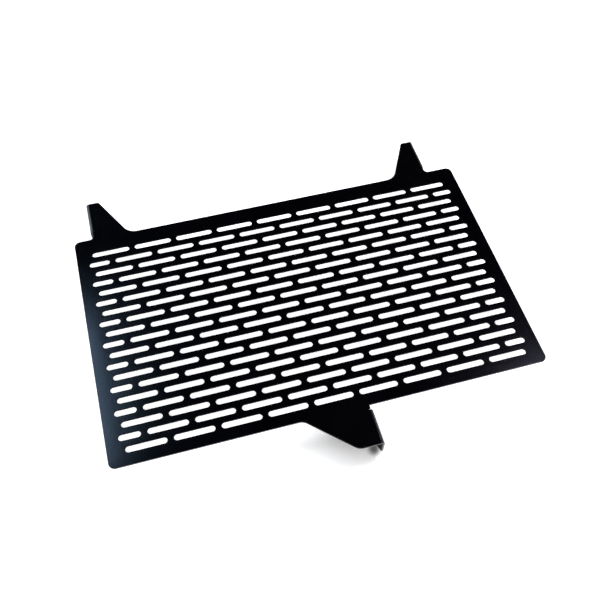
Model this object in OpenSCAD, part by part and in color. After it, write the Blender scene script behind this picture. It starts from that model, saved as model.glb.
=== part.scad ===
// Guard for a motorcycle radiator: one slotted sheet with three ears, each bent
// down into a bolting tongue. It lies face up on the three tongues.

/* [Sheet] */
// Thickness of the sheet
sheet_t = 1.5; // [1:0.1:2]
// Radius of the four corners of the panel
corner_r = 5; // [2:0.5:10]
// Sheet left between the ends of the full rows and the side edges
side_margin = 13.3; // [9:0.1:20]
// Sheet left between the top row of slots and the top edge
top_margin = 14.2; // [8:0.2:20]
// Sheet left between the bottom row of slots and the bottom edge
bottom_margin = 9.6; // [6:0.2:20]

/* [Slots] */
// Number of rows of slots
row_count = 19; // [9:2:23]
// Number of slots in a full row, one more than the long slots of a shifted row
column_count = 9; // [7:1:10]
// Length of a slot over its round ends
slot_l = 31.2; // [26:0.2:36]
// Width of a slot
slot_w = 5.2; // [3:0.1:6]
// Length of the short slots that close the shifted rows
short_l = 17; // [12:0.2:18]
// Sheet left between two slots of one row
end_web = 4.5; // [3:0.1:8]
// Sheet left between two rows
row_web = 4.8; // [3:0.1:8]

/* [Top ears] */
// Height of the top ears above the panel
ear_l = 39.8; // [34:0.2:50]
// Width of a top ear along its top edge
ear_tip_w = 11.4; // [9:0.1:15]
// Width of a top ear where it leaves the panel
ear_root_w = 32.1; // [26:0.1:44]
// Radius of the slanted side's top corner
ear_tip_r = 2.5; // [1:0.5:4]
// Radius of the slanted side's foot
ear_root_r = 12; // [4:0.5:14]
// Length of a top ear's neck, from the panel to its tongue
ear_neck_l = 8.7; // [6:0.1:12]
// Radius at the foot of the neck
ear_neck_r = 3.4; // [1:0.2:5]
// Distance from the panel's left edge to the left tongue's outer face
left_ear_in = 14.7; // [11:0.1:30]
// Distance from the panel's right edge to the right tongue's outer face
right_ear_in = 22.4; // [11:0.1:30]

/* [Bottom ear] */
// Length of the bottom ear below the panel
low_ear_l = 31.8; // [28:0.2:40]
// Width of the bottom ear along its bottom edge
low_tip_w = 20; // [16:0.2:26]
// Width of the bottom ear where it leaves the panel
low_root_w = 53.6; // [40:0.2:60]
// Radius of the slanted side's bottom corner
low_tip_r = 10; // [4:0.5:12]
// Radius of the slanted side's foot
low_root_r = 8; // [4:0.5:14]
// Length of the bottom ear's neck, from the panel to its tongue
low_neck_l = 3.6; // [2:0.1:6]
// Radius at the foot of the neck
low_neck_r = 0.8; // [0.4:0.2:1.6]
// Distance from the panel's middle to the bottom tongue's outer face
low_ear_x = 25.9; // [-40:0.1:80]

/* [Bent tongues] */
// Outer radius of the three bends
bend_r = 3; // [2.6:0.1:4]
// Distance from the sheet's face to the tongues' tips
tongue_h = 26; // [22:0.5:36]
// Size of the corners cut off the tips
tip_cut = 10; // [4:0.5:10.5]
// Distance from a tongue's tip to the centre of its bolt hole
hole_up = 11; // [8:0.5:13]
// Diameter of the bolt holes
hole_d = 6.5; // [5:0.1:8]
// Distance from a neck's edge to the outer face of its tongue
neck_in = 1.8; // [1.6:0.1:2.4]
// Width of the slit that frees the start of each bend from the neck
slit_w = 0.6; // [0.4:0.1:1]
// Length by which that slit runs past the start of the bend
slit_past = 0.3; // [0.1:0.1:1]

/* [Hidden] */

pitch_x = slot_l + end_web;
pitch_y = slot_w + row_web;
panel_w = (column_count - 1) * pitch_x + slot_l + 2 * side_margin;
panel_h = (row_count - 1) * pitch_y + slot_w + top_margin + bottom_margin;

// The origin is under the middle of the whole sheet, at the tongues' tips
total_h = panel_h + ear_l + low_ear_l;
bottom_y = low_ear_l - total_h / 2;
top_y = bottom_y + panel_h;
first_row_y = top_y - top_margin - slot_w / 2;
left_face_x = left_ear_in - panel_w / 2;
right_face_x = panel_w / 2 - right_ear_in;

// Largest turn between two points of a rounded corner, in degrees
step_deg = 10;
// A cut runs this far past the faces that it goes through
past = sheet_t;
// Width of flat sheet that each bent strip shares with its ear
shared_w = 2 * sheet_t;

function unit(v) = v / norm(v);

function angle_of(v) = atan2(v.y, v.x);

// Points of the corner at b, on the way from a to c, with the radius b[2]
function corner(a, b, c) =
    let (
        at = [b.x, b.y],
        back = unit([a.x, a.y] - at),
        ahead = unit([c.x, c.y] - at),
        half = acos(back * ahead) / 2,
        centre = at + unit(back + ahead) * b[2] / sin(half),
        start = angle_of(at + back * b[2] / tan(half) - centre),
        way = sign(cross(ahead, back)),
        turn = way * (180 - 2 * half),
        steps = ceil(abs(turn) / step_deg)
    )
    b[2] == 0 ? [at]
    : [for (k = [0:steps]) centre + b[2] * [cos(start + turn * k / steps), sin(start + turn * k / steps)]];

// Outline through corners given as [x, y, radius]
function rounded(corners) =
    let (n = len(corners))
    [for (i = [0:n - 1]) each corner(corners[(i + n - 1) % n], corners[i], corners[(i + 1) % n])];

// Corners of an ear from its neck to the foot of its slanted side. The first
// number is the distance from the tongue's outer face, the second from the panel.
// Between the neck and the bend, the outline goes in and out of the slit.
function ear_corners(neck_l, neck_r, length, tip_w, tip_r, root_w, root_r) = [
    [neck_in, 0, neck_r],
    [neck_in, neck_l - slit_w, 0],
    [bend_r + slit_past, neck_l - slit_w, 0],
    [bend_r + slit_past, neck_l, 0],
    [bend_r, neck_l, 0],
    [bend_r, length, 0],
    [tip_w, length, tip_r],
    [root_w, 0, root_r]
];

function top_ear() =
    ear_corners(ear_neck_l, ear_neck_r, ear_l, ear_tip_w, ear_tip_r, ear_root_w, ear_root_r);

function low_ear() =
    ear_corners(low_neck_l, low_neck_r, low_ear_l, low_tip_w, low_tip_r, low_root_w, low_root_r);

// The ear's corners set at the face and the panel's edge, turned by the two signs
function placed(corners, face_x, edge_y, way_x, way_y) =
    [for (c = corners) [face_x + way_x * c[0], edge_y + way_y * c[1], c[2]]];

function reversed(list) = [for (i = [len(list) - 1:-1:0]) list[i]];

function sheet_outline() = rounded(concat(
    [[-panel_w / 2, bottom_y, corner_r]],
    reversed(placed(low_ear(), low_ear_x, bottom_y, -1, -1)),
    [[panel_w / 2, bottom_y, corner_r], [panel_w / 2, top_y, corner_r]],
    placed(top_ear(), right_face_x, top_y, -1, 1),
    reversed(placed(top_ear(), left_face_x, top_y, 1, 1)),
    [[-panel_w / 2, top_y, corner_r]]
));

// Slot of the given length, lying along x about the origin
module slot(length) {
    straight = length - slot_w;
    square([straight, slot_w], center = true);
    for (side = [-1, 1]) translate([side * straight / 2, 0]) circle(d = slot_w, $fn = 24);
}

module full_row() {
    for (i = [0:column_count - 1]) translate([(i - (column_count - 1) / 2) * pitch_x, 0]) slot(slot_l);
}

// Row moved by half a pitch, with a short slot in the room left at each end
module shifted_row() {
    long = column_count - 1;
    long_end_x = (long - 1) / 2 * pitch_x + slot_l / 2;
    short_x = long_end_x + end_web + short_l / 2;
    for (i = [0:long - 1]) translate([(i - (long - 1) / 2) * pitch_x, 0]) slot(slot_l);
    for (side = [-1, 1]) translate([side * short_x, 0]) slot(short_l);
}

module slot_field() {
    for (row = [0:row_count - 1]) translate([0, first_row_y - row * pitch_y]) {
        if (row % 2 == 0) full_row();
        else shifted_row();
    }
}

module slotted_sheet() {
    translate([0, 0, tongue_h - sheet_t]) linear_extrude(sheet_t) difference() {
        polygon(sheet_outline());
        slot_field();
    }
}

// All that lies behind the sheet's face and the tongue's outer face, by at least
// the given depth, with the bend's rounding between them. Section across a bend,
// with the face along x and the outer face along y.
module behind(depth) {
    reach = tongue_h + past;
    translate([bend_r, -bend_r]) circle(r = bend_r - depth, $fn = 64);
    translate([bend_r, -reach]) square([reach, reach - depth]);
    translate([depth, -reach]) square([reach, reach - bend_r]);
}

// Section of the bent strip: a little of the ear, the bend and the tongue
module bent_section() {
    difference() {
        intersection() {
            behind(0);
            translate([0, -tongue_h]) square([bend_r + shared_w, tongue_h]);
        }
        behind(sheet_t);
    }
}

// Corner cut off a tongue's tip, at the end where y is 0
module tip_corner() {
    translate([-past, 0, 0]) rotate([90, 0, 90]) linear_extrude(sheet_t + 2 * past)
        polygon([[-past, -past], [tip_cut + past, -past], [-past, tip_cut + past]]);
}

// Bent strip of an ear, from its neck to its end, with its tip's two corners
// cut off and its bolt hole
module tongue(neck_l, ear_length) {
    length = ear_length - neck_l;
    translate([0, neck_l, 0]) difference() {
        translate([0, length, tongue_h]) rotate([90, 0, 0]) linear_extrude(length) bent_section();
        for (end = [0, 1]) translate([0, end * length, 0]) mirror([0, end, 0]) tip_corner();
        translate([-past, length / 2, hole_up]) rotate([0, 90, 0])
            cylinder(d = hole_d, h = sheet_t + 2 * past, $fn = 48);
    }
}

module guard_plate() {
    color("#17181c") union() {
        slotted_sheet();
        translate([left_face_x, top_y, 0]) tongue(ear_neck_l, ear_l);
        translate([right_face_x, top_y, 0]) mirror([1, 0, 0]) tongue(ear_neck_l, ear_l);
        translate([low_ear_x, bottom_y, 0]) rotate([0, 0, 180]) tongue(low_neck_l, low_ear_l);
    }
}

guard_plate();
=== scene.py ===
import math

import bmesh
import bpy
from mathutils import Matrix, Vector


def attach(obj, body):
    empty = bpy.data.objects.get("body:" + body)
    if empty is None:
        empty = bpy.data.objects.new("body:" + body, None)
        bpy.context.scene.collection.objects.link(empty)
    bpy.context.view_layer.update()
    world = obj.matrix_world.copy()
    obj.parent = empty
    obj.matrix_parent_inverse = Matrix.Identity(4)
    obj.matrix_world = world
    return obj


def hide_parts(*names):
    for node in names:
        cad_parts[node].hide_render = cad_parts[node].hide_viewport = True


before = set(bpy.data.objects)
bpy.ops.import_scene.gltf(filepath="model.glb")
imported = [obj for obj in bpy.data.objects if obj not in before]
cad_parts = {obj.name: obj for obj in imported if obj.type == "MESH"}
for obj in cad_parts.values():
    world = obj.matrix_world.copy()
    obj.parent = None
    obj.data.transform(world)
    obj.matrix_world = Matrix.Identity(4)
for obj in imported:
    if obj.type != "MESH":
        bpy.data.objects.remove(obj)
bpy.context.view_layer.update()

# Guard plate. One blank of 1.5 mm steel sheet, laser-cut flat with its slots,
# bolt holes and three ears, then folded down along three lines into the bolting
# tongues. All its sizes are in millimetres, the blank's face is at height 0.
mm = 0.001
sheet_t = 1.5
edge_round = 0.25
edge_steps = 3
panel_w = 343.4
panel_h = 209.0
corner_round = 5.0
low_ear_l = 31.8
ear_l = 39.8
bottom_y = low_ear_l - (panel_h + ear_l + low_ear_l) / 2
top_y = bottom_y + panel_h
turn_step = math.radians(6)

bend_r = 3.0
bend_steps = 10
neutral_r = bend_r - sheet_t / 2
bend_l = neutral_r * math.pi / 2
tongue_h = 26.0
tip_cut = 10.0
hole_up = 11.0
hole_d = 6.5
hole_steps = 40
neck_in = 1.8
slit_w = 0.6
slit_past = 0.3

# Each ear: outer face of its tongue, panel edge, way inwards along x and away
# from the panel along y, neck length and foot radius, ear length, tip width and
# radius, root width and radius
top_ear = dict(neck_l=8.7, neck_r=3.4, length=ear_l, tip_w=11.4, tip_r=2.5, root_w=32.1, root_r=12.0)
low_ear = dict(neck_l=3.6, neck_r=0.8, length=low_ear_l, tip_w=20.0, tip_r=10.0, root_w=53.6, root_r=8.0)
ears = [
    dict(top_ear, face_x=14.7 - panel_w / 2, edge_y=top_y, way_x=1, way_y=1),
    dict(top_ear, face_x=panel_w / 2 - 22.4, edge_y=top_y, way_x=-1, way_y=1),
    dict(low_ear, face_x=25.9, edge_y=bottom_y, way_x=-1, way_y=-1),
]
tongue_tip = bend_r - bend_l - (tongue_h - bend_r)


def ear_corners(ear):
    """Corners (x, y, radius) of an ear's blank, from the foot of its neck, round
    the slit and the unfolded tongue, to the foot of its slanted side."""
    neck_l, length = ear["neck_l"], ear["length"]
    flat = [
        (neck_in, 0, ear["neck_r"]),
        (neck_in, neck_l - slit_w, 0),
        (bend_r + slit_past, neck_l - slit_w, 0),
        (bend_r + slit_past, neck_l, 0),
        (tongue_tip + tip_cut, neck_l, 0),
        (tongue_tip, neck_l + tip_cut, 0),
        (tongue_tip, length - tip_cut, 0),
        (tongue_tip + tip_cut, length, 0),
        (ear["tip_w"], length, ear["tip_r"]),
        (ear["root_w"], 0, ear["root_r"]),
    ]
    return [(ear["face_x"] + ear["way_x"] * u, ear["edge_y"] + ear["way_y"] * v, r) for u, v, r in flat]


def rounded(corners):
    """Outline through the corners, each turned with its radius."""
    points = []
    for before, here, after in zip(corners[-1:] + corners[:-1], corners, corners[1:] + corners[:1]):
        at, radius = Vector(here[:2]), here[2]
        if radius == 0:
            points.append(at)
            continue
        back = (Vector(before[:2]) - at).normalized()
        ahead = (Vector(after[:2]) - at).normalized()
        half = back.angle(ahead) / 2
        centre = at + (back + ahead).normalized() * radius / math.sin(half)
        start = at + back * radius / math.tan(half) - centre
        turn = math.copysign(math.pi - 2 * half, ahead.cross(back))
        steps = math.ceil(abs(turn) / turn_step)
        points += [centre + Matrix.Rotation(turn * k / steps, 2) @ start for k in range(steps + 1)]
    return points


def blank_loops():
    """The blank's outline, then its three bolt holes, each hole the other way round."""
    half_w = panel_w / 2
    left_ear, right_ear, bottom_ear = ears
    loops = [rounded(
        [(-half_w, bottom_y, corner_round)]
        + ear_corners(bottom_ear)[::-1]
        + [(half_w, bottom_y, corner_round), (half_w, top_y, corner_round)]
        + ear_corners(right_ear)
        + ear_corners(left_ear)[::-1]
        + [(-half_w, top_y, corner_round)]
    )]
    for ear in ears:
        middle = Vector((
            ear["face_x"] + ear["way_x"] * (tongue_tip + hole_up),
            ear["edge_y"] + ear["way_y"] * (ear["neck_l"] + ear["length"]) / 2,
        ))
        arm = Vector((hole_d / 2, 0))
        loops.append([middle + Matrix.Rotation(-math.tau * k / hole_steps, 2) @ arm for k in range(hole_steps)])
    return loops


def loops_mesh(name, loops):
    """Mesh of closed wires, one for each loop."""
    points, edges = [], []
    for loop in loops:
        first = len(points)
        points += [(p.x, p.y, 0) for p in loop]
        edges += [(first + k, first + (k + 1) % len(loop)) for k in range(len(loop))]
    mesh = bpy.data.meshes.new(name)
    mesh.from_pydata(points, edges, [])
    return mesh


class Tree:
    """A node tree in the making: add a node, give it values or links, link it on."""

    def __init__(self, name="", kind="", tree=None):
        self.tree = tree or bpy.data.node_groups.new(name, kind)

    def socket(self, name, kind, default=None, outwards=False):
        made = self.tree.interface.new_socket(name, in_out="OUTPUT" if outwards else "INPUT", socket_type=kind)
        if default is not None:
            made.default_value = default
        return made

    def node(self, kind, *values, **settings):
        made = self.tree.nodes.new(kind)
        for key, value in settings.items():
            setattr(made, key, value)
        for socket, value in zip(made.inputs, values):
            self.give(socket, value)
        return made

    def give(self, socket, value):
        if isinstance(value, bpy.types.NodeSocket):
            self.tree.links.new(value, socket)
        elif value is not None:
            socket.default_value = value

    def math(self, operation, *values):
        return self.node("ShaderNodeMath", *values, operation=operation).outputs[0]


def slotting_tree():
    """Cuts the rows of slots into a blank given as closed wires, gives the sheet its
    thickness, with every cut edge rounded off, and coats it: well on the front and
    round the outline, thinly on the back and in the slots."""
    t = Tree("slotted_blank", "GeometryNodeTree")
    t.socket("Geometry", "NodeSocketGeometry", outwards=True)
    t.socket("Geometry", "NodeSocketGeometry")
    for name, value in dict(slot_sizes, **edge_sizes).items():
        t.socket(name, "NodeSocketInt" if isinstance(value, int) else "NodeSocketFloat", value)
    t.socket("Front coat", "NodeSocketMaterial")
    t.socket("Back coat", "NodeSocketMaterial")
    given = t.node("NodeGroupInput").outputs
    pitch_x = t.math("ADD", given["Slot length"], given["End web"])
    pitch_y = t.math("ADD", given["Slot width"], given["Row web"])
    index = t.node("GeometryNodeInputIndex").outputs[0]

    def at(x, y):
        return t.node("ShaderNodeCombineXYZ", x, y).outputs[0]

    def wire(points, cyclic):
        line = t.node("GeometryNodePointsToCurves", points).outputs[0]
        return t.node("GeometryNodeSetSplineCyclic", line, True, cyclic).outputs[0]

    def slot(length):
        """Outline of one slot: two half rounds, one after the other."""
        steps = given["Round end steps"]
        radius = t.math("MULTIPLY", given["Slot width"], 0.5)
        straight = t.math("MULTIPLY", t.math("SUBTRACT", length, given["Slot width"]), 0.5)
        second = t.math("GREATER_THAN", index, steps)
        along = t.math("SUBTRACT", index, t.math("MULTIPLY", second, t.math("ADD", steps, 1.0)))
        share = t.math("ADD", t.math("DIVIDE", along, steps), second)
        angle = t.math("SUBTRACT", math.pi / 2, t.math("MULTIPLY", share, math.pi))
        side = t.math("SUBTRACT", 1.0, t.math("MULTIPLY", second, 2.0))
        x = t.math("ADD", t.math("MULTIPLY", t.math("COSINE", angle), radius), t.math("MULTIPLY", side, straight))
        y = t.math("MULTIPLY", t.math("SINE", angle), radius)
        count = t.math("MULTIPLY", t.math("ADD", steps, 1.0), 2.0)
        return wire(t.node("GeometryNodePoints", count, at(x, y)).outputs[0], True)

    def spread(count, step, x_way, start):
        """Points in a line, from start on, a step apart."""
        place = t.math("ADD", start, t.math("MULTIPLY", index, step))
        position = at(place, 0.0) if x_way else at(0.0, place)
        return t.node("GeometryNodePoints", count, position).outputs[0]

    def put(points, what):
        return t.node("GeometryNodeInstanceOnPoints", points, None, what).outputs[0]

    def centred(count, step):
        return t.math("MULTIPLY", t.math("MULTIPLY", t.math("SUBTRACT", count, 1.0), step), -0.5)

    def join(*parts):
        joined = t.node("GeometryNodeJoinGeometry")
        for part in reversed(parts):
            t.tree.links.new(part, joined.inputs[0])
        return joined.outputs[0]

    columns = given["Columns"]
    fewer = t.math("SUBTRACT", columns, 1.0)
    long_slot = slot(given["Slot length"])
    full_row = put(spread(columns, pitch_x, True, centred(columns, pitch_x)), long_slot)
    inner_row = put(spread(fewer, pitch_x, True, centred(fewer, pitch_x)), long_slot)
    inner_end = t.math("SUBTRACT", t.math("MULTIPLY", centred(fewer, pitch_x), -1.0),
                       t.math("MULTIPLY", given["Slot length"], -0.5))
    short_x = t.math("ADD", t.math("ADD", inner_end, given["End web"]),
                     t.math("MULTIPLY", given["Short slot length"], 0.5))
    short_pair = put(spread(2, t.math("MULTIPLY", short_x, 2.0), True, t.math("MULTIPLY", short_x, -1.0)),
                     slot(given["Short slot length"]))
    two_rows = t.math("MULTIPLY", pitch_y, -2.0)
    full_count = t.math("CEIL", t.math("DIVIDE", given["Rows"], 2.0))
    shifted_count = t.math("FLOOR", t.math("DIVIDE", given["Rows"], 2.0))
    first_y = given["First row"]
    full_rows = put(spread(full_count, two_rows, False, first_y), full_row)
    shifted_rows = put(spread(shifted_count, two_rows, False, t.math("SUBTRACT", first_y, pitch_y)),
                       join(inner_row, short_pair))
    field = t.node("GeometryNodeRealizeInstances", join(full_rows, shifted_rows)).outputs[0]
    outline = t.node("GeometryNodeMeshToCurve", given["Geometry"]).outputs[0]

    # Section of a cut edge, down from the face: a quarter round, the wall, a quarter round
    steps, radius, thick = given["Edge steps"], given["Edge round"], given["Sheet thickness"]
    low = t.math("GREATER_THAN", index, steps)
    along = t.math("SUBTRACT", index, t.math("MULTIPLY", low, t.math("ADD", steps, 1.0)))
    angle = t.math("MULTIPLY", t.math("ADD", t.math("DIVIDE", along, steps), low), math.pi / 2)
    inset = t.math("MULTIPLY", radius, t.math("SUBTRACT", 1.0, t.math("SINE", angle)))
    drop = t.math("MULTIPLY", radius, t.math("SUBTRACT", 1.0, t.math("COSINE", angle)))
    extra = t.math("SUBTRACT", thick, t.math("MULTIPLY", radius, 2.0))
    depth = t.math("ADD", drop, t.math("MULTIPLY", low, extra))
    count = t.math("MULTIPLY", t.math("ADD", steps, 1.0), 2.0)
    section = wire(t.node("GeometryNodePoints", count, at(t.math("MULTIPLY", inset, -1.0), depth)).outputs[0], False)

    def thinly_coated(part):
        """Marks faces that the powder hardly reaches."""
        mark = t.node("GeometryNodeStoreNamedAttribute", part, data_type="BOOLEAN", domain="FACE")
        mark.inputs["Name"].default_value = "thin_coat"
        mark.inputs["Value"].default_value = True
        return mark.outputs[0]

    def walls_along(cuts):
        upright = t.node("GeometryNodeSetCurveNormal", cuts, mode="Z_UP").outputs[0]
        return t.node("GeometryNodeCurveToMesh", upright, section).outputs[0]

    walls = join(walls_along(outline), thinly_coated(walls_along(field)))

    height = t.node("ShaderNodeSeparateXYZ", t.node("GeometryNodeInputPosition").outputs[0]).outputs[2]
    hair = 0.005

    def face(at_height, keep):
        ring = t.node("GeometryNodeSeparateGeometry", walls, keep, domain="EDGE").outputs[0]
        loops = t.node("GeometryNodeMeshToCurve", ring).outputs[0]
        filled = t.node("GeometryNodeFillCurve", loops).outputs[0]
        place = t.node("ShaderNodeCombineXYZ", 0.0, 0.0, at_height).outputs[0]
        return t.node("GeometryNodeTransform", filled, place).outputs[0]

    front = face(0.0, t.math("GREATER_THAN", height, -hair))
    back_height = t.math("MULTIPLY", thick, -1.0)
    back = face(back_height, t.math("LESS_THAN", height, t.math("ADD", back_height, hair)))
    sheet = join(front, thinly_coated(back), walls)
    welded = t.node("GeometryNodeMergeByDistance", sheet, True, hair / 5).outputs[0]
    painted = t.node("GeometryNodeRealizeInstances", welded).outputs[0]
    thin = t.node("GeometryNodeInputNamedAttribute", "thin_coat", data_type="BOOLEAN").outputs[0]
    for faces, coat in ((True, "Front coat"), (thin, "Back coat")):
        painted = t.node("GeometryNodeSetMaterial", painted, faces, given[coat]).outputs[0]
    t.node("NodeGroupOutput", painted)
    return t.tree


# The slots as they are once coated, which narrows each cut by twice the coat
coat_t = 0.14
slot_sizes = {
    "Rows": 19,
    "Columns": 9,
    "Slot length": 31.2 - 2 * coat_t,
    "Slot width": 5.2 - 2 * coat_t,
    "Short slot length": 17.0 - 2 * coat_t,
    "End web": 4.5 + 2 * coat_t,
    "Row web": 4.8 + 2 * coat_t,
    "First row": top_y - 14.2 - 5.2 / 2,
    "Round end steps": 12,
}
edge_sizes = {"Sheet thickness": sheet_t, "Edge round": edge_round, "Edge steps": edge_steps}


def powder_coat(name, roughness, specular):
    """Satin black powder coat: a smooth orange peel with a finer grain in it, a
    little duller in patches."""
    coat = bpy.data.materials.new(name)
    coat.use_nodes = True
    t = Tree(tree=coat.node_tree)
    shader = t.tree.nodes["Principled BSDF"]
    shader.inputs["Specular IOR Level"].default_value = specular
    place = t.node("ShaderNodeTexCoord").outputs["Object"]

    def noise(size, detail):
        """Soft noise with spots of about this size, in millimetres."""
        made = t.node("ShaderNodeTexNoise", place)
        made.inputs["Scale"].default_value = 1 / (size * mm)
        made.inputs["Detail"].default_value = detail
        return made.outputs["Fac"]

    def ramp(value, low, high):
        return t.node("ShaderNodeMapRange", value, 0.3, 0.7, low, high).outputs[0]

    peel, grain, patches = noise(1.4, 1.0), noise(0.25, 1.0), noise(35.0, 3.0)
    swell = t.node("ShaderNodeBump")
    t.give(swell.inputs["Height"], peel)
    swell.inputs["Distance"].default_value = peel_height * mm
    speck = t.node("ShaderNodeBump")
    t.give(speck.inputs["Height"], grain)
    t.give(speck.inputs["Normal"], swell.outputs[0])
    speck.inputs["Distance"].default_value = grain_height * mm
    t.give(shader.inputs["Normal"], speck.outputs[0])
    dull = t.math("ADD", ramp(patches, -0.02, 0.02), ramp(grain, -0.015, 0.015))
    t.give(shader.inputs["Roughness"], t.math("ADD", roughness, dull))
    tint = t.node("ShaderNodeValToRGB", ramp(patches, 0.0, 1.0))
    for stop, colour in zip(tint.color_ramp.elements, (deep_black, pale_black)):
        stop.color = colour
    t.give(shader.inputs["Base Color"], tint.outputs["Color"])
    return coat


peel_height = 0.006
grain_height = 0.0008
deep_black = (0.0003, 0.0003, 0.0006, 1)
pale_black = (0.0007, 0.0007, 0.0012, 1)


def blank_object():
    """The cut blank as a plain flat mesh, made by the tree from its wires."""
    blank = bpy.data.objects.new("blank", loops_mesh("blank_wires", blank_loops()))
    bpy.context.scene.collection.objects.link(blank)
    cutter = blank.modifiers.new("slots", "NODES")
    cutter.node_group = slotting_tree()
    given = dict(slot_sizes, **edge_sizes)
    given["Front coat"] = powder_coat("satin_coat", 0.19, 0.5)
    given["Back coat"] = powder_coat("thin_coat", 0.5, 0.12)
    for item in cutter.node_group.interface.items_tree:
        if item.in_out == "INPUT" and item.name in given:
            cutter[item.identifier] = given[item.name]
    seen = blank.evaluated_get(bpy.context.evaluated_depsgraph_get())
    mesh = bpy.data.meshes.new_from_object(seen)
    blank.modifiers.remove(cutter)
    bpy.data.objects.remove(blank)
    return mesh


def on_ear(ear, point):
    """Distance of a point inwards from the tongue's outer face, and from the panel's edge."""
    return ear["way_x"] * (point.x - ear["face_x"]), ear["way_y"] * (point.y - ear["edge_y"])


def fold(sheet, ear):
    """Cuts the faces across an ear's bend into narrow strips, then turns all that
    lies beyond the bend line down, round the bend's radius."""
    clear_of_neck = ear["neck_l"] - slit_w / 2

    def beyond(vertex):
        u, v = on_ear(ear, vertex.co)
        return u < bend_r - mm and v > clear_of_neck

    for k in range(bend_steps + 1):
        line = Vector((ear["face_x"] + ear["way_x"] * (bend_r - bend_l * k / bend_steps), 0, 0))
        faces = {f for v in sheet.verts if beyond(v) for f in v.link_faces}
        edges = {e for f in faces for e in f.edges}
        points = {v for f in faces for v in f.verts}
        bmesh.ops.bisect_plane(sheet, geom=[*faces, *edges, *points], dist=mm, plane_co=line, plane_no=(1, 0, 0))
    for vertex in [v for v in sheet.verts if beyond(v)]:
        past_line = bend_r - on_ear(ear, vertex.co)[0]
        depth = -vertex.co.z
        if past_line < bend_l:
            turn = past_line / neutral_r
            radius = bend_r - depth
            u, down = bend_r - radius * math.sin(turn), bend_r - radius * math.cos(turn)
        else:
            u, down = depth, bend_r + past_line - bend_l
        vertex.co.x = ear["face_x"] + ear["way_x"] * u
        vertex.co.z = -down


mesh = blank_object()
sheet = bmesh.new()
sheet.from_mesh(mesh)
for ear in ears:
    fold(sheet, ear)
bmesh.ops.translate(sheet, verts=sheet.verts, vec=(0, 0, tongue_h))
bmesh.ops.scale(sheet, verts=sheet.verts, vec=(mm, mm, mm))
bmesh.ops.recalc_face_normals(sheet, faces=sheet.faces)
for face in sheet.faces:
    face.smooth = True
sheet.to_mesh(mesh)
sheet.free()
mesh.set_sharp_from_angle(angle=math.radians(40))


def evenly_shaded(mesh):
    """The mesh with its normals weighted by area, so that only the rounded edges turn."""
    shown = bpy.data.objects.new("unweighted", mesh)
    bpy.context.scene.collection.objects.link(shown)
    weighting = shown.modifiers.new("normals", "WEIGHTED_NORMAL")
    weighting.keep_sharp = True
    seen = shown.evaluated_get(bpy.context.evaluated_depsgraph_get())
    weighted = bpy.data.meshes.new_from_object(seen)
    shown.modifiers.remove(weighting)
    bpy.data.objects.remove(shown)
    return weighted


guard = bpy.data.objects.new("guard", evenly_shaded(mesh))
guard.data.name = "guard"
bpy.context.scene.collection.objects.link(guard)
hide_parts("guard_plate")
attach(guard, "root")

# Studio table and backdrop. One sweep of white paper: a flat table that turns up
# into a low round wall. It glows for the camera and in reflections only, so that
# it is white all over, and keeps the bottom ear's shadow. Its extra glow where the
# guard's shadow falls is painted light, and a painted contact shadow darkens it
# under the near tongue's tip.
sweep_line = [(0.0, 0.0), (2.4, 0.0), (2.7, 0.04), (2.9, 0.16), (3.0, 0.35), (3.0, 1.5)]
sweep_turns = 64
ring = [
    [(r * math.cos(math.tau * k / sweep_turns), r * math.sin(math.tau * k / sweep_turns), z) for k in range(sweep_turns)]
    for r, z in sweep_line[1:]
]
points = [(0, 0, 0)] + [p for r in ring for p in r]
quads = [(0, 1 + k, 1 + (k + 1) % sweep_turns) for k in range(sweep_turns)]
for j in range(len(ring) - 1):
    for k in range(sweep_turns):
        a, b = 1 + j * sweep_turns + k, 1 + j * sweep_turns + (k + 1) % sweep_turns
        quads.append((a, a + sweep_turns, b + sweep_turns, b))
floor_mesh = bpy.data.meshes.new("sweep")
floor_mesh.from_pydata(points, [], quads)
for face in floor_mesh.polygons:
    face.use_smooth = True
floor = bpy.data.objects.new("sweep", floor_mesh)
bpy.context.scene.collection.objects.link(floor)


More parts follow.
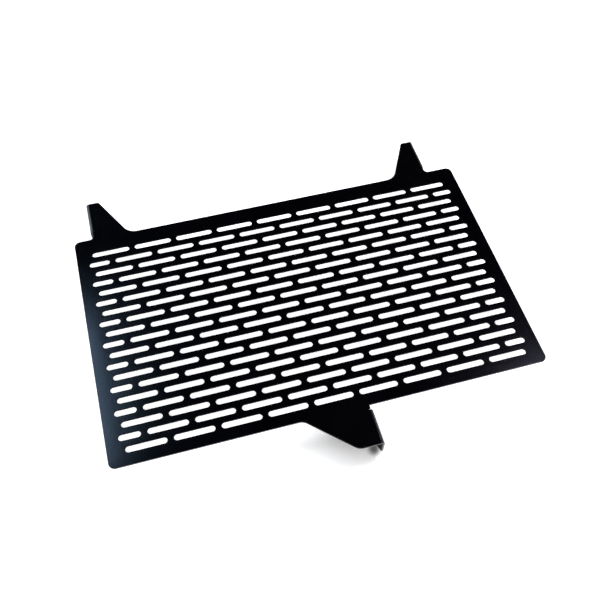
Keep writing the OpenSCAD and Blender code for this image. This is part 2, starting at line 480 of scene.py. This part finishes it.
def white_paper():
    """Matt white paper with a glow that only the camera and reflections see: a
    little everywhere, more under the slotted panel, behind it and further away.
    The extra glow under and behind the guard is painted light that washes out its
    shadow there. Round the near tongue's tip the paper's colour and glow are
    darkened by position, a painted contact shadow."""
    paper = bpy.data.materials.new("white_paper")
    paper.use_nodes = True
    t = Tree(tree=paper.node_tree)
    shader = t.tree.nodes["Principled BSDF"]
    shader.inputs["Roughness"].default_value = 0.9
    shader.inputs["Specular IOR Level"].default_value = 0.0
    rays = t.node("ShaderNodeLightPath").outputs
    seen = t.math("MAXIMUM", t.math("MAXIMUM", rays["Is Camera Ray"], rays["Is Glossy Ray"]), rays["Is Transmission Ray"])
    place = t.node("ShaderNodeTexCoord").outputs["Object"]

    def from_edge(middle, half, along):
        """Distance outside the panel's shadow, along one of its two sides."""
        return t.math("SUBTRACT", t.math("ABSOLUTE", t.math("SUBTRACT", along, middle)), half)

    def fade(distance, start, end):
        return t.node("ShaderNodeMapRange", distance, start, end, 0.0, 1.0, interpolation_type="SMOOTHSTEP").outputs[0]

    def away_from(point):
        return t.node("ShaderNodeVectorMath", place, point, operation="DISTANCE").outputs["Value"]

    x, y, _ = t.node("ShaderNodeSeparateXYZ", place).outputs
    outside = t.math("MAXIMUM", from_edge(panel_shadow[0], panel_w * mm / 2, x),
                     from_edge(panel_shadow[1], panel_h * mm / 2, y))
    under_panel = fade(outside, 0.014, -0.002)
    far = fade(away_from((0.0, 0.0, 0.0)), 0.15, 0.6)
    # Mask of the painted contact shadow round the near tongue's tip.
    foot = fade(away_from(tongue_foot), 0.008, 0.0015)
    under_rim = fade(outside, -0.036, -0.022)
    behind = fade(y, 0.08, 0.11)
    # Painted light: more glow where the panel, its margins and its top ears shade the paper, washing out their shadow.
    glow = t.math("MULTIPLY", under_panel, t.math("ADD", 0.35, t.math("MULTIPLY", under_rim, 0.1)))
    for share, amount in ((far, 0.5), (behind, 0.3)):
        glow = t.math("ADD", glow, t.math("MULTIPLY", share, amount))
    glow = t.math("ADD", glow, 0.3)
    # Painted contact shadow: the paper's colour and glow are darkened round the near tongue's tip.
    painted_contact_shadow = t.math("SUBTRACT", 1.0, t.math("MULTIPLY", foot, 0.8))
    glow = t.math("MULTIPLY", glow, painted_contact_shadow)
    t.give(shader.inputs["Base Color"], t.node("ShaderNodeCombineXYZ", *[t.math("MULTIPLY", painted_contact_shadow, 0.9)] * 3).outputs[0])
    shader.inputs["Emission Color"].default_value = (1, 1, 1, 1)
    t.give(shader.inputs["Emission Strength"], t.math("MULTIPLY", seen, glow))
    return paper


panel_shadow = (-0.002, -0.002)
# Centre of the painted contact shadow under the near tongue's tip.
tongue_foot = (0.0225, -0.1335, 0.0)
floor_mesh.materials.append(white_paper())

# Studio lamps. A wide one overhead and a small one at the right, which the coat
# doesn't mirror, two narrow softboxes that show as soft sheen on the left margin
# and the near right corner, and one at the back left that shows in the bends.
world = bpy.data.worlds.new("studio")
bpy.context.scene.world = world
world.use_nodes = True
world.node_tree.nodes["Background"].inputs["Color"].default_value = (0.002, 0.002, 0.006, 1)


def softbox(name, place, aim, width, height, radiance, colour=(1, 1, 1)):
    lamp = bpy.data.lights.new(name, "AREA")
    lamp.shape = "RECTANGLE"
    lamp.size, lamp.size_y, lamp.color = width, height, colour
    lamp.energy = radiance * 4 * width * height
    made = bpy.data.objects.new(name, lamp)
    bpy.context.scene.collection.objects.link(made)
    made.location = place
    made.rotation_euler = (Vector(aim) - Vector(place)).to_track_quat("-Z", "Y").to_euler()
    made.visible_camera = False
    return made


for lamp in (
    softbox("overhead", (0.05, -0.25, 1.4), (0.05, -0.25, 0), 2.0, 2.0, 1.7),
    softbox("key", (0.5, 0.05, 1.0), (0.0, 0.0, 0), 0.3, 0.3, 13),
):
    lamp.visible_glossy = False
softbox("left_strip", (-0.280, 0.279, 0.6), (-0.280, 0.279, 0), 0.08, 0.285, 2.8, (0.65, 1.0, 1.5))
softbox("right_strip", (0.494, 0.046, 0.6), (0.494, 0.046, 0), 0.194, 0.05, 12.8, (1.03, 1.0, 1.4))
softbox("back_left", (-0.95, 1.07, 0.83), (-0.157, 0.12, 0.026), 0.8, 0.5, 1.7, (0.8, 1.0, 1.2))

# Camera, where the photograph's stood.
camera = bpy.data.objects.new("camera", bpy.data.cameras.new("camera"))
bpy.context.scene.collection.objects.link(camera)
bpy.context.scene.camera = camera
camera.location = (-0.104503, -0.334656, 0.560247)
camera.rotation_euler = [math.radians(a) for a in (32.90506, -1.12901, -15.64317)]
camera.data.lens = 46.71942
camera.data.sensor_width = 36

bpy.context.scene.view_settings.view_transform = "Standard"
